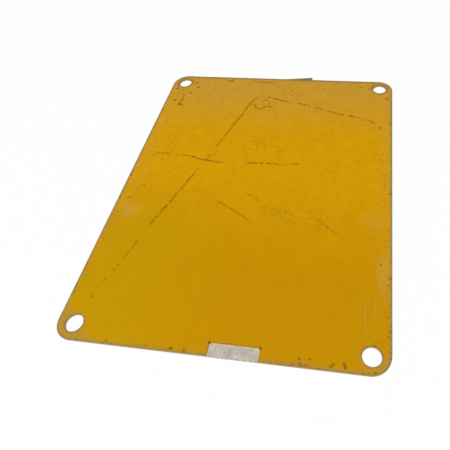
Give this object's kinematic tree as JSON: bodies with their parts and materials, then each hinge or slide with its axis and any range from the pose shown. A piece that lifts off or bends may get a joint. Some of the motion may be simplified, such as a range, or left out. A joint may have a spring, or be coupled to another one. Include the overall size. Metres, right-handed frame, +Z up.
{
  "type": "cover plate",
  "caption": "Flat rectangular sheet-steel cover plate with rounded corners, a bolt hole in each corner and a small bare land at one short edge.",
  "frame": {"origin": "middle of the rectangle of corner holes, on the underside of the sheet", "axes": "+Z up out of the painted face, +Y along the long side towards the short edge with the thin lip, +X across to the right"},
  "size_m": [0.2, 0.2606, 0.0015],
  "materials": {
    "yellow_face": "satin amber-yellow coat, scratched and chipped",
    "bare_steel": "dull bare steel with fine speckle",
    "dull_edge": "dark tarnished steel on worn cut edges"
  },
  "bodies": {
    "root": {"cover_plate": "yellow_face"}
  },
  "joints": []
}
